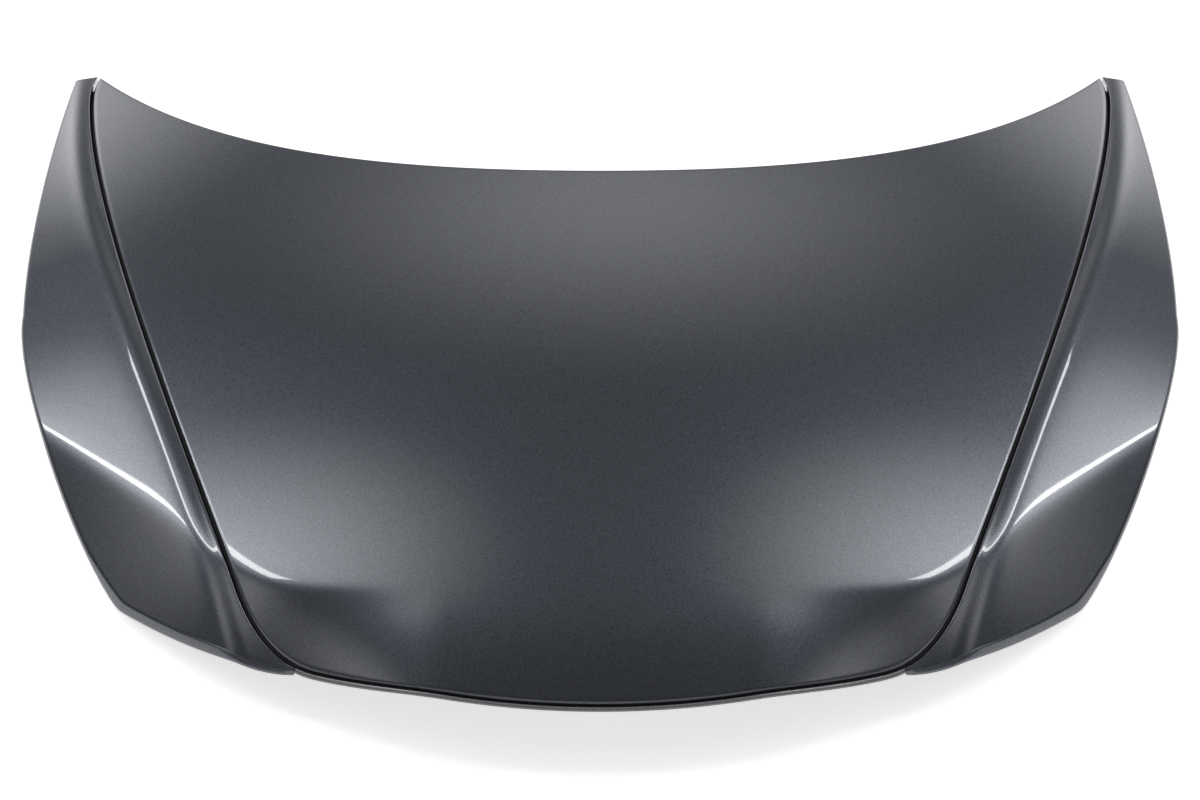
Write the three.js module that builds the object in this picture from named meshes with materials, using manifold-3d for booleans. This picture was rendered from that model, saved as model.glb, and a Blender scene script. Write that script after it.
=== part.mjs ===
// Car bonnet: a centre section and two side sections of pressed sheet on one carrier frame.
// Millimetres, +Z up. The front edge faces -Y, the rear edge +Y, and X runs across the car.
// Everything is laid out from one joint line, one rear edge and one height formula.
import * as THREE from "three";
import { mergeVertices } from "three/addons/utils/BufferGeometryUtils.js";
import Module from "manifold-3d";

const wasm = await Module();
wasm.setup();

// Height of the painted surface over the plan, before the whole group is set on the ground.
const crown = { top: 190, tilt: 0.007, lengthRadius: 2800, widthRadius: 4000 };
const nose = { y: -470, slope: 0.12, blend: 60 };
const shut = { x: 652, slope: 0.318, turnY: 250, turnBlend: 30, turn: 3.9e-4 };
const ridge = { rise: 0.22, riseBlend: 6, fall: 0.28, width: 22, blend: 14 };
const brow = { y: -398, slope: 1.05, x: 488, turnBlend: 60, fall: 0.33, blend: 12, from: 220, to: 540 };

const bend = (t, blend) => 0.5 * (t + Math.hypot(t, blend));

function browLine(x) {
  return brow.y + brow.slope * bend(Math.abs(x) - brow.x, brow.turnBlend);
}

// The surface of the centre section, carried on under the side sections.
function baseHeight(x, y) {
  const ax = Math.abs(x);
  let z = crown.top + crown.tilt * y;
  z -= (y * y) / (2 * crown.lengthRadius) + (x * x) / (2 * crown.widthRadius);
  z -= nose.slope * bend(nose.y - y, nose.blend);
  const run = ax - brow.x;
  const slope = brow.slope * 0.5 * (1 + run / Math.hypot(run, brow.turnBlend));
  const ahead = (browLine(x) - y) / Math.hypot(1, slope);
  const fade = THREE.MathUtils.smoothstep(ax, brow.from, brow.to);
  return z - brow.fall * fade * bend(ahead, brow.blend);
}

// The painted surface: the side sections rise to a soft ridge beside the joint and fall away from it.
function skinHeight(x, y) {
  const turn = bend(y - shut.turnY, shut.turnBlend);
  const shutX = shut.x + shut.slope * y - shut.turn * turn * turn;
  const out = (Math.abs(x) - shutX) * 0.95;
  const rise = ridge.rise * bend(out, ridge.riseBlend);
  return baseHeight(x, y) + rise - (ridge.rise + ridge.fall) * bend(out - ridge.width, ridge.blend);
}

// Main sizes of the plan: reach to the front and rear middle, half width, and the rear tip.
const frontReach = 576.2;
const rearReach = 383.7;
const halfWidth = 870.5;
const widestBack = 188;
const tipAcross = 785;
const tipBack = 698.5;
const widest = [halfWidth, widestBack];
const tip = [tipAcross, tipBack];
const lipStart = [431, -499];
const lipCorner = [709, -328];

// Middle of the joint line from the front centre to the rear tip, and the free edges.
const frontRadius = 1168;
const frontAngle = Math.asin(404 / frontRadius);
const joint = new THREE.Path();
joint.absarc(0, frontRadius - frontReach, frontRadius, -Math.PI / 2, frontAngle - Math.PI / 2, false);
joint.quadraticCurveTo(484.2, -474.4, 521, -373);
joint.bezierCurveTo(580.4, -209.4, 782.3, 354.7, tip[0] + 9.1, tip[1] - 58.5);
joint.quadraticCurveTo(tip[0] + 10.5, tip[1] - 22.5, tip[0] + 2, tip[1] + 2.5);

const rearEdge = new THREE.Path();
rearEdge.moveTo(0, rearReach);
rearEdge.bezierCurveTo(306, rearReach, 599, 454, ...tip);

const lipEdge = new THREE.Path();
lipEdge.moveTo(...lipStart);
lipEdge.bezierCurveTo(524.8, -489.5, 639.6, -395.3, lipCorner[0] - 17, lipCorner[1] - 21.4);
lipEdge.quadraticCurveTo(lipCorner[0] - 8.6, lipCorner[1] - 14.1, ...lipCorner);

const flankFront = new THREE.Path();
flankFront.moveTo(...lipCorner);
flankFront.bezierCurveTo(793.9, -189.6, widest[0] + 10.2, widest[1] - 86.7, ...widest);

const flankRear = new THREE.Path();
flankRear.moveTo(...widest);
flankRear.bezierCurveTo(widest[0] + 4.1, widest[1] + 118.7, 856.3, 490.4, tip[0] + 39.5, tip[1] - 1.5);

const add = (p, d, k) => [p[0] + d[0] * k, p[1] + d[1] * k];
const mix = (p, q, k) => [p[0] + (q[0] - p[0]) * k, p[1] + (q[1] - p[1]) * k];
const apart = (p, q) => Math.hypot(q[0] - p[0], q[1] - p[1]);

// Point and directions at a distance along a path: "out" is on the right hand of the travel.
function along(path, distance) {
  const t = THREE.MathUtils.clamp(distance / path.getLength(), 0, 1);
  const p = path.getPoint(t);
  const forward = path.getTangent(t);
  return { at: [p.x, p.y], forward: [forward.x, forward.y], out: [forward.y, -forward.x] };
}

// Sheet thicknesses and the levels that the pieces share, as depths below the painted surface.
const skinThickness = 1;
const frameThickness = 0.9;
const carrierThickness = 1.2;
const halfGap = 2.5;
const flangeDepth = 2.5;
const panelDepth = 5;
const seatDepth = 20;
const clearance = 0.3;

// Stations round the centre section: its edge point and the way in. Near the sharp rear tip the way in
// leans along the edge, so that lines drawn inside the edge close up like a mitre.
const cornerAt = 502;
const jointLength = joint.getLength();
const rearLength = rearEdge.getLength();
const tipReach = 350;
const sideAway = along(joint, jointLength).forward.map((v) => -v);
const rearAway = along(rearEdge, rearLength).forward.map((v) => -v);
const tipAngle = Math.acos(sideAway[0] * rearAway[0] + sideAway[1] * rearAway[1]);

function wayIn(inward, away, fromTip) {
  const lean = Math.max(0, 1 - fromTip / tipReach) / Math.tan(tipAngle / 2);
  return add(inward, away, lean);
}

function jointStation(distance) {
  const { at, forward, out } = along(joint, distance);
  const inward = out.map((v) => -v);
  const away = forward.map((v) => -v);
  const last = distance > jointLength - 1;
  const edge = last ? tip : add(at, inward, halfGap);
  return { edge, out, way: wayIn(inward, away, jointLength - distance), fromTip: jointLength - distance };
}

function rearStation(distance) {
  const { at, forward, out } = along(rearEdge, distance);
  const away = forward.map((v) => -v);
  const last = distance > rearLength - 1;
  return { edge: last ? tip : at, out, way: wayIn(out, away, rearLength - distance), fromTip: rearLength - distance };
}

// Lines of the inner frame: centre beam, splayed beam and the stations near the corner.
function columnDistances(length) {
  const beam = length * 0.5;
  const inner = 0.5 * (45 + beam - 22);
  const outer = 0.5 * (beam + 22 + length - 90);
  const beams = [35, 45, inner, beam - 22, beam - 12, beam + 12, beam + 22, outer];
  return [...beams, length - 90, length - 59, length - 28, length];
}

const sideLength = jointLength - cornerAt;
const crossBeam = sideLength * 0.46;
const rowDistances = [0, 28, 56, 88, 132, 210, 320, 440];
rowDistances.push(crossBeam - 22, crossBeam - 12, crossBeam + 12, crossBeam + 22);
rowDistances.push(700, 820, 940, 1045, sideLength - 62, sideLength - 18, sideLength);

// The seat under the joint is shallow along the front, where nothing shows below the strip, and goes
// down to its full depth round the corner, under the side sections.
const frontSeat = 9.6;
const frontEnd = cornerAt - 59;
const seatShare = (fromTip) => THREE.MathUtils.smoothstep(jointLength - fromTip, frontEnd, cornerAt + 56);
const seatLevel = (fromTip) => frontSeat + (seatDepth - frontSeat) * seatShare(fromTip);

const cornerRows = rowDistances.map((d) => jointStation(cornerAt + d));
const frontHalf = columnDistances(cornerAt).map((d) => jointStation(d));
const rearHalf = columnDistances(rearLength).map((d) => rearStation(d));

const flip = ([x, y]) => [-x, y];
const mirrored = (station) => ({ ...station, edge: flip(station.edge), way: flip(station.way), out: station.out && flip(station.out) });
const fullRow = (half) => [...half.map(mirrored).reverse(), ...half];

// A layout holds the loop of stations, anticlockwise from the left front corner, and its line counts.
function layoutOf(front, side, rear) {
  const frontRow = fullRow(front);
  const between = side.slice(1, -1);
  const loop = [...frontRow, ...between, ...fullRow(rear).reverse(), ...between.map(mirrored).reverse()];
  return { loop, columns: frontRow.length - 1, rows: side.length - 1 };
}
const without = (list, dropped) => list.filter((_, k) => !dropped.includes(k));
const frameLayout = layoutOf(frontHalf, cornerRows, rearHalf);
const skinLayout = layoutOf(without(frontHalf, [1, 4, 5]), without(cornerRows, [9, 10]), without(rearHalf, [1, 4, 5]));

// A sheet is a plan of points, each with a tag that gives its depth, and the triangles between them.
function newSheet() {
  return { plan: [], tags: [], triangles: [], rim: [] };
}

function addPoint(sheet, point, tag) {
  sheet.plan.push(point);
  sheet.tags.push(tag);
  return sheet.plan.length - 1;
}

// Two triangles for a cell, with the diagonal turned over on the left so that both halves match.
function addCell(sheet, a, b, c, d) {
  const middle = sheet.plan[a][0] + sheet.plan[b][0] + sheet.plan[c][0] + sheet.plan[d][0];
  if (middle >= 0) sheet.triangles.push([a, b, c], [a, c, d]);
  else sheet.triangles.push([a, b, d], [b, c, d]);
}

// A cell with an eight-sided lightening hole inside a web of even width.
function addHoleCell(sheet, corners, web, tag) {
  const [a, b, c, d] = corners;
  const p = corners.map((k) => sheet.plan[k]);
  const wide = 0.5 * (apart(p[0], p[1]) + apart(p[3], p[2]));
  const long = 0.5 * (apart(p[0], p[3]) + apart(p[1], p[2]));
  const cut = 0.28 * Math.min(wide, long);
  const u = [web / wide, (web + cut) / wide];
  const v = [web / long, (web + cut) / long];
  const place = [
    [u[1], v[0]], [1 - u[1], v[0]], [1 - u[0], v[1]], [1 - u[0], 1 - v[1]],
    [1 - u[1], 1 - v[0]], [u[1], 1 - v[0]], [u[0], 1 - v[1]], [u[0], v[1]],
  ];
  const h = place.map(([s, t]) => addPoint(sheet, mix(mix(p[0], p[1], s), mix(p[3], p[2], s), t), tag));
  sheet.triangles.push([a, b, h[1]], [a, h[1], h[0]], [b, h[2], h[1]], [b, c, h[3]], [b, h[3], h[2]]);
  sheet.triangles.push([c, h[4], h[3]], [c, d, h[5]], [c, h[5], h[4]], [d, h[6], h[5]]);
  sheet.triangles.push([d, a, h[7]], [d, h[7], h[6]], [a, h[0], h[7]]);
}

// Edges that only one triangle uses, in the direction of that triangle.
function openEdges(triangles) {
  const seen = new Map();
  for (const [a, b, c] of triangles) {
    for (const [p, q] of [[a, b], [b, c], [c, a]]) {
      if (!seen.delete(q + " " + p)) seen.set(p + " " + q, [p, q]);
    }
  }
  return [...seen.values()];
}

function geometryOf(points, triangles) {
  const geometry = new THREE.BufferGeometry();
  geometry.setAttribute("position", new THREE.Float32BufferAttribute(points.flat(), 3));
  geometry.setIndex(triangles.flat());
  return geometry;
}

// A sheet of even depth below a height formula, closed with a plain wall at each open edge.
function plainSheet(sheet, height, depthOf, thickness) {
  const n = sheet.plan.length;
  const lift = (drop) => sheet.plan.map(([x, y], k) => [x, y, height(x, y, sheet.tags[k]) - depthOf(sheet.tags[k]) - drop]);
  const points = [...lift(0), ...lift(thickness)];
  const triangles = [...sheet.triangles, ...sheet.triangles.map(([a, b, c]) => [a + n, c + n, b + n])];
  for (const [p, q] of openEdges(sheet.triangles)) triangles.push([p, p + n, q + n], [p, q + n, q]);
  return geometryOf(points, triangles);
}

// A painted skin: its outermost points are joined to an edge that rolls down and turns in under itself.
// Each rim station gives the edge point and a section: start of the roll, its middle, its end, the
// depth of the drop and the width of the turned flange.
function rimmedSkin(sheet, rimStations) {
  const t = skinThickness;
  const n = sheet.plan.length;
  const top = sheet.plan.map(([x, y]) => [x, y, skinHeight(x, y)]);
  const points = [...top, ...top.map(([x, y, z]) => [x, y, z - t])];
  const triangles = [...sheet.triangles, ...sheet.triangles.map(([a, b, c]) => [a + n, c + n, b + n])];
  const strips = rimStations.map(({ edge, section: s }, k) => {
    const start = sheet.plan[sheet.rim[k]];
    const way = [(start[0] - edge[0]) / s.start, (start[1] - edge[1]) / s.start];
    const path = [
      [s.middle, s.middleDepth, 0], [0, s.end, 0], [0, s.drop, s.flat], [s.flange, s.drop, s.flat],
      [s.flange, s.drop - t, s.flat], [t, s.drop - t, s.flat], [t, s.end, 0],
      [s.middle + 0.7 * t, s.middleDepth + 0.7 * t, 0],
    ];
    const first = points.length;
    for (const [inside, depth, flat] of path) {
      const [x, y] = add(edge, way, inside);
      const painted = skinHeight(x, y);
      const plain = flat > 0 ? baseHeight(x, y) : painted;
      points.push([x, y, painted + (plain - painted) * flat - depth]);
    }
    const chain = [sheet.rim[k]];
    for (let step = 0; step < path.length; step++) chain.push(first + step);
    chain.push(sheet.rim[k] + n);
    return chain;
  });
  strips.forEach((chain, k) => {
    const next = strips[(k + 1) % strips.length];
    for (let step = 0; step + 1 < chain.length; step++) {
      triangles.push([chain[step], chain[step + 1], next[step + 1]], [chain[step], next[step + 1], next[step]]);
    }
  });
  return geometryOf(points, triangles);
}

// The plan of the centre section: rings of stations inside its edge, and a patch that fills the last ring.
function centreSheet(layout, rings, holes) {
  const { loop, columns, rows } = layout;
  const sheet = newSheet();
  const ringPoint = (e, k) => add(loop[k].edge, loop[k].way, e);
  const last = rings[rings.length - 1];
  const patch = patchInside(layout, last, ringPoint);
  const grid = patch.map((line, i) => line.map((p, j) => addPoint(sheet, p, { i, j })));
  const patchRim = [];
  for (let i = 0; i <= columns; i++) patchRim.push(grid[i][0]);
  for (let j = 1; j < rows; j++) patchRim.push(grid[columns][j]);
  for (let i = columns; i >= 0; i--) patchRim.push(grid[i][rows]);
  for (let j = rows - 1; j > 0; j--) patchRim.push(grid[0][j]);
  patchRim.forEach((k) => (sheet.tags[k].ring = last));
  for (let i = 0; i < columns; i++) {
    for (let j = 0; j < rows; j++) {
      const corners = [grid[i][j], grid[i + 1][j], grid[i + 1][j + 1], grid[i][j + 1]];
      if (holes && holes(i, j)) addHoleCell(sheet, corners, 13, { hole: true });
      else addCell(sheet, ...corners);
    }
  }
  let inner = patchRim;
  for (const e of rings.slice(0, -1).reverse()) {
    const outer = loop.map((_, k) => addPoint(sheet, ringPoint(e, k), { ring: e }));
    outer.forEach((_, k) => {
      const next = (k + 1) % outer.length;
      addCell(sheet, outer[k], outer[next], inner[next], inner[k]);
    });
    inner = outer;
  }
  sheet.rim = inner;
  return sheet;
}

// Fills the ring with a Coons patch. Columns share out the front and rear rows by length.
function patchInside({ columns, rows }, e, ringPoint) {
  const front = [];
  const rear = [];
  const left = [];
  const right = [];
  const turn = columns + rows;
  for (let i = 0; i <= columns; i++) front.push(ringPoint(e, i));
  for (let i = 0; i <= columns; i++) rear.push(ringPoint(e, turn + columns - i));
  for (let j = 0; j <= rows; j++) right.push(ringPoint(e, columns + j));
  for (let j = 0; j <= rows; j++) left.push(ringPoint(e, (2 * turn - j) % (2 * turn)));
  const share = (line) => {
    const sums = [0];
    for (let k = 1; k < line.length; k++) sums.push(sums[k - 1] + apart(line[k - 1], line[k]));
    return sums.map((s) => s / sums[sums.length - 1]);
  };
  const frontShare = share(front);
  const rearShare = share(rear);
  const sideShare = share(right);
  return front.map((_, i) => right.map((__, j) => {
    const v = sideShare[j];
    const u = frontShare[i] + (rearShare[i] - frontShare[i]) * v;
    const lengthwise = mix(front[i], rear[i], v);
    const across = mix(left[j], right[j], u);
    const corners = mix(mix(left[0], right[0], u), mix(left[rows], right[rows], u), v);
    return [lengthwise[0] + across[0] - corners[0], lengthwise[1] + across[1] - corners[1]];
  }));
}

const rolled = (radius) => ({ start: radius, middle: 0.29 * radius, middleDepth: 0.29 * radius, end: radius });

// Centre skin: a hem all round, narrower towards the two sharp rear tips.
const centreRim = skinLayout.loop.map((station) => {
  const fromTip = station.fromTip;
  const flange = Math.min(14, 4.2 + 0.2 * fromTip);
  return { edge: station.edge, section: { ...rolled(3.5), drop: 5.9, flange, flat: 0 } };
});
const centreSkin = rimmedSkin(centreSheet(skinLayout, [3.5, 20, 72]), centreRim);

// Inner frame: a flange inside the hem, a deep beam round the edge, a centre beam, two splayed beams
// and a cross beam, with a thinner panel and lightening holes between them.
const half = (frameLayout.columns + 1) / 2;
const beamColumns = [half - 1, half, half + 4, half + 5, half - 5, half - 6];
const beamRows = [9, 10];
const panelHoles = (i, j) => {
  const column = i >= half ? i - half : half - 2 - i;
  const inSpan = [1, 2, 6, 7].includes(column);
  const inRows = [5, 11, 13].includes(j);
  return inSpan && inRows;
};
function frameDepth(tag) {
  if (tag.hole) return panelDepth;
  if (tag.ring === 6 || tag.ring === 20) return flangeDepth;
  if (tag.ring === 30 || tag.ring === 62) return seatDepth - frameThickness;
  if (tag.ring === 72) return panelDepth;
  return beamColumns.includes(tag.i) || beamRows.includes(tag.j) ? seatDepth - frameThickness : panelDepth;
}
const frameSheet = centreSheet(frameLayout, [6, 20, 30, 62, 72], panelHoles);
const frameHeight = (x, y, tag) => (tag.ring <= 20 ? skinHeight(x, y) : baseHeight(x, y));
const innerFrame = plainSheet(frameSheet, frameHeight, frameDepth, frameThickness);

// Side sections: lines across from the joint to the free edge. The tip line is the first, the rear the last.
const acrossStations = [...[frontEnd, cornerAt - 28].map((d) => jointStation(d)), ...cornerRows];
const lipLine = 7;
const kinkLine = 14;
const lipLength = lipEdge.getLength();
const acrossCount = acrossStations.length;

function innerEdgeOf(k) {
  const distance = jointLength - acrossStations[k].fromTip;
  const { at, out } = along(joint, distance);
  return { at: add(at, out, halfGap), distance };
}

// Shares the free edge between the lines: the lip up to its corner, then the flank in two lengths.
function outerEdgeOf(k) {
  const from = innerEdgeOf(0).distance;
  const here = innerEdgeOf(k).distance;
  const lipEnd = innerEdgeOf(lipLine).distance;
  const kink = innerEdgeOf(kinkLine).distance;
  if (k <= lipLine) {
    const share = (here - from) / (lipEnd - from);
    return along(lipEdge, 6 + (lipLength - 6) * share).at;
  }
  if (k <= kinkLine) return along(flankFront, (flankFront.getLength() * (here - lipEnd)) / (kink - lipEnd)).at;
  return along(flankRear, (flankRear.getLength() * (here - kink)) / (jointLength - kink)).at;
}

// Distance from the joint edge at which a line across meets the crease of the brow.
function creaseOn(inner, outer) {
  let low = 0;
  let high = 1;
  for (let step = 0; step < 24; step++) {
    const k = 0.5 * (low + high);
    const [x, y] = mix(inner, outer, k);
    if (y > browLine(x)) low = k;
    else high = k;
  }
  return low * apart(inner, outer);
}

const acrossLines = acrossStations.map((_, k) => {
  const inner = innerEdgeOf(k).at;
  const outer = outerEdgeOf(k);
  const { fromTip } = acrossStations[k];
  return { inner, outer, fromTip, width: apart(inner, outer), crease: creaseOn(inner, outer) };
});

// Sections of the two long rims. Near the narrow ends every width shrinks with the line across.
const footWidth = (width) => Math.max(1.6, Math.min(24, 0.42 * width));

function innerSection({ width, fromTip }) {
  const fit = Math.min(3, 0.36 * width);
  const drop = seatLevel(fromTip);
  return { ...rolled(3), start: fit, middle: 0.29 * fit, drop, flange: footWidth(width), flat: 1 };
}

// One along the chamfered front lip, nothing along the flank. The lip gets lower towards its pointed tip.
const lipShare = (k) => THREE.MathUtils.clamp((lipLine + 1.5 - k) / 1.5, 0, 1);
const tipDrop = 7.5;
const lipDrop = 12;

function outerSection(k, { width, fromTip }) {
  const lip = lipShare(k);
  const full = 0.6 + 0.4 * seatShare(fromTip);
  const size = (plain, chamfer) => plain + (chamfer * full - plain) * lip;
  return {
    start: Math.min(size(4, 7.5), 0.36 * width),
    middle: Math.min(size(1.2, 2.2), 0.2 * width),
    middleDepth: size(1.2, 5),
    end: size(4, 8),
    drop: 9 + (tipDrop + (lipDrop - tipDrop) * seatShare(fromTip) - 9) * lip,
    flange: Math.max(1.6, Math.min(14, 0.42 * width)),
    flat: 0,
  };
}

const midSection = (p, q) => Object.fromEntries(Object.keys(p).map((key) => [key, 0.5 * (p[key] + q[key])]));

// Distances of the lines along a side section from its joint edge.
function lengthwiseDistances({ width, crease }, first, last) {
  const near = Math.min(28, 0.36 * width);
  const high = Math.max(near + 4, width - last - 0.3 * (width - near));
  const fold = THREE.MathUtils.clamp(crease, near + 0.3 * (high - near), high);
  const steps = [first, 0.45 * near, near, 0.5 * (near + fold), fold, 0.5 * (fold + width - last), width - last];
  return steps;
}

function sideSkin() {
  const sheet = newSheet();
  const ends = { front: 2.5, rear: 4 };
  const sections = acrossLines.map((line, k) => [innerSection(line), outerSection(k, line)]);
  const raw = acrossLines.map((line, k) => {
    const [inner, outer] = sections[k];
    const steps = lengthwiseDistances(line, inner.start, outer.start);
    return steps.map((e) => mix(line.inner, line.outer, e / line.width));
  });
  const last = acrossCount - 1;
  const count = raw[0].length;
  const inset = (k, next, distance) => raw[k].map((p, r) => mix(p, raw[next][r], distance / apart(p, raw[next][r])));
  const lines = [...raw];
  lines[0] = inset(0, 1, ends.front);
  lines[last] = inset(last, last - 1, ends.rear);
  const grid = lines.map((line) => line.map((p) => addPoint(sheet, p, {})));
  for (let k = 0; k < last; k++) {
    for (let r = 0; r + 1 < count; r++) sheet.triangles.push([grid[k][r], grid[k][r + 1], grid[k + 1][r + 1]], [grid[k][r], grid[k + 1][r + 1], grid[k + 1][r]]);
  }
  const rim = [];
  const tipEnd = { ...rolled(2.5), drop: tipDrop, flange: 3, flat: 0 };
  const rearEnd = { ...rolled(4), drop: 9, flange: 9, flat: 0 };
  const push = (k, r, edge, section) => {
    sheet.rim.push(grid[k][r]);
    rim.push({ edge, section });
  };
  for (let r = 0; r < count; r++) {
    const atCorner = r === 0 ? 0 : 1;
    const corner = r === 0 || r === count - 1;
    const edge = corner ? [acrossLines[0].inner, acrossLines[0].outer][atCorner] : raw[0][r];
    push(0, r, edge, corner ? midSection(tipEnd, sections[0][atCorner]) : tipEnd);
  }
  for (let k = 1; k < last; k++) push(k, count - 1, acrossLines[k].outer, sections[k][1]);
  for (let r = count - 1; r >= 0; r--) {
    const atCorner = r === 0 ? 0 : 1;
    const corner = r === 0 || r === count - 1;
    const edge = corner ? [acrossLines[last].inner, acrossLines[last].outer][atCorner] : raw[last][r];
    push(last, r, edge, corner ? midSection(rearEnd, sections[last][atCorner]) : rearEnd);
  }
  for (let k = last - 1; k > 0; k--) push(k, 0, acrossLines[k].inner, sections[k][0]);
  return rimmedSkin(sheet, rim);
}

// Inner panel of a side section: a flange on the foot of the skin, a raised body with lightening
// holes, and a flange inside the outer hem.
function sideInner() {
  const sheet = newSheet();
  const first = 5;
  const last = 17;
  const grid = [];
  for (let k = first; k <= last; k++) {
    const line = acrossLines[k];
    const high = line.width - 30;
    const fold = THREE.MathUtils.clamp(line.crease, 36 + 0.25 * (high - 36), high - 0.15 * (high - 36));
    const steps = [4, 22, 36, fold, high, line.width - 18, line.width - 6];
    const lip = lipShare(k);
    grid.push(steps.map((e, r) => addPoint(sheet, mix(line.inner, line.outer, e / line.width), { r, lip })));
  }
  for (let k = 0; k + 1 < grid.length; k++) {
    for (let r = 0; r < 6; r++) {
      const corners = [grid[k][r], grid[k][r + 1], grid[k + 1][r + 1], grid[k + 1][r]];
      const wide = apart(sheet.plan[corners[0]], sheet.plan[corners[1]]);
      const long = apart(sheet.plan[corners[0]], sheet.plan[corners[3]]);
      if ((r === 2 || r === 3) && Math.min(wide, long) > 45) addHoleCell(sheet, corners, 11, { r: 3, lip: 0 });
      else addCell(sheet, ...corners);
    }
  }
  const seat = seatDepth - skinThickness - 2 * clearance - frameThickness;
  const height = (x, y, tag) => (tag.r < 2 ? baseHeight(x, y) : skinHeight(x, y));
  const hem = (lip) => 4 + 5 * lip;
  const depth = ({ r, lip }) => [seat, seat, 11, 11, 11 + 2 * lip, hem(lip), hem(lip)][r];
  return plainSheet(sheet, height, depth, frameThickness);
}

// Carrier: a channel that follows the joint line round from one rear tip to the other.
const carrierStations = [
  ...cornerRows.slice(0, -1).map((s, j) => ({ ...s, line: j + 2 })).reverse(),
  ...frontHalf.slice(0, -1).map((s, i) => ({ ...s, line: i - (frontHalf.length - 3) })).reverse(),
].reverse();

// The seat of a station, as plan points: outer edge, a point by the joint, and three inside the beam.
const frontLedge = 0.6;
function seatPlan(station) {
  const inside = [9, 30, 62].map((e) => add(station.edge, station.way, e));
  const line = station.line > 0 ? acrossLines[station.line] : null;
  if (!line) return [add(station.edge, station.out, halfGap + frontLedge), add(station.edge, station.out, 0.3), ...inside];
  const foot = mix(line.inner, line.outer, footWidth(line.width) / line.width);
  return [foot, add(station.edge, station.out, 2 * halfGap), ...inside];
}

// Along the front the outer wall leans back behind the strip, and beside the side sections it is upright.
const frontWall = { lean: 9, fall: 11 };
function carrierSection(station) {
  const t = carrierThickness;
  const share = seatShare(station.fromTip);
  const ledge = seatLevel(station.fromTip) + clearance;
  const top = seatDepth + clearance;
  const hang = Math.min(14, 3 + 0.08 * station.fromTip);
  const fall = frontWall.fall + (hang - frontWall.fall) * share;
  const lean = frontWall.lean * (1 - share);
  const plan = seatPlan(station);
  const depths = [ledge, ledge, ledge, top, top];
  const level = ([x, y], depth) => [x, y, baseHeight(x, y) - depth];
  const inward = (distance) => mix(plan[0], plan[1], distance / apart(plan[0], plan[1]));
  const edges = [inward(t + (lean * t) / fall), mix(plan[4], plan[3], t / apart(plan[4], plan[3]))];
  const inner = [edges[0], plan[1], plan[2], plan[3], edges[1]];
  const outerWall = level(inward(lean), ledge + fall);
  const innerWall = level(plan[4], top + hang);
  const outside = [outerWall, ...plan.map((p, k) => level(p, depths[k])), innerWall];
  const under = inner.map((p, k) => level(p, depths[k] + t));
  const outerFoot = [...inward(lean + t), outerWall[2]];
  const innerFoot = [...edges[1], innerWall[2]];
  return [...outside, innerFoot, ...under.reverse(), outerFoot];
}

// Joins equal sections with the last one closed back on the first point, and caps both ends.
function sweep(sections) {
  const size = sections[0].length;
  const points = sections.flat();
  const triangles = [];
  for (let k = 0; k + 1 < sections.length; k++) {
    for (let s = 0; s < size; s++) {
      const a = k * size + s;
      const b = k * size + ((s + 1) % size);
      if (points[a][0] + points[a + size][0] >= 0) triangles.push([a, b + size, b], [a, a + size, b + size]);
      else triangles.push([a, a + size, b], [b, a + size, b + size]);
    }
  }
  const last = (sections.length - 1) * size;
  for (let s = 0; s < size / 2 - 1; s++) {
    const a = s;
    const b = s + 1;
    const c = size - 2 - s;
    const d = size - 1 - s;
    triangles.push([a, b, c], [a, c, d]);
    triangles.push([last + a, last + c, last + b], [last + a, last + d, last + c]);
  }
  return geometryOf(points, triangles);
}

const acrossX = (sections) => {
  const left = sections.map((section) => section.map(([x, y, z]) => [-x, y, z]));
  return [...left.reverse(), ...sections];
};

const carrierFrame = sweep(acrossX(carrierStations.map(carrierSection)));

// Joint seal: a rubber strip on the carrier, under the hem of the centre section.
function sealSection(station) {
  const [, nearJoint, inner] = seatPlan(station);
  const outer = add(station.edge, station.out, halfGap + (station.line > 0 ? 0.4 : -0.6));
  const seat = (p) => {
    const from = baseHeight(...inner);
    const to = baseHeight(...nearJoint);
    const share = apart(inner, p) / apart(inner, nearJoint);
    return [...p, from + (to - from) * share - seatLevel(station.fromTip) + 0.2];
  };
  const crown = (p) => [...p, baseHeight(...p) - 7.5];
  return [seat(outer), crown(outer), crown(inner), seat(inner)];
}
const jointSeal = sweep(acrossX(carrierStations.map(sealSection)));

// Front strip: a slim lip in front of the centre section, on a foot that lies against the leaning wall.
// Points are the distance in front of the joint line and the depth.
const stripThickness = 1.6;
const wallLength = Math.hypot(frontWall.lean, frontWall.fall);
const wallNormal = [frontWall.fall / wallLength, frontWall.lean / wallLength];
const onWall = (k, off) => [
  frontLedge - frontWall.lean * k + wallNormal[0] * off,
  frontSeat + clearance + frontWall.fall * k + wallNormal[1] * off,
];
const stripProfile = [
  onWall(1, clearance + stripThickness), onWall(0, clearance + stripThickness), [4.6, 5.4], [7.4, 4],
  [7.4, 1.6], [6.5, 0.7], [3.3, 0.7], [2.4, 1.6],
  [2.4, 3.4], [2.4, 5.4], onWall(0, clearance), onWall(1, clearance),
];
const stripStations = frontHalf.slice(0, -2);
function placed(station, [out, depth]) {
  const [x, y] = add(station.edge, station.out, halfGap + out);
  return [x, y, baseHeight(x, y) - depth];
}
const frontStrip = sweep(acrossX(stripStations.map((s) => stripProfile.map((p) => placed(s, p)))));

function solidOf(geometry) {
  const bare = new THREE.BufferGeometry();
  const source = geometry.index ? geometry.toNonIndexed() : geometry;
  bare.setAttribute("position", source.getAttribute("position"));
  const merged = mergeVertices(bare, 1e-4);
  const mesh = new wasm.Mesh({
    numProp: 3,
    vertProperties: merged.attributes.position.array,
    triVerts: new Uint32Array(merged.index.array),
  });
  return new wasm.Manifold(mesh);
}

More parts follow.
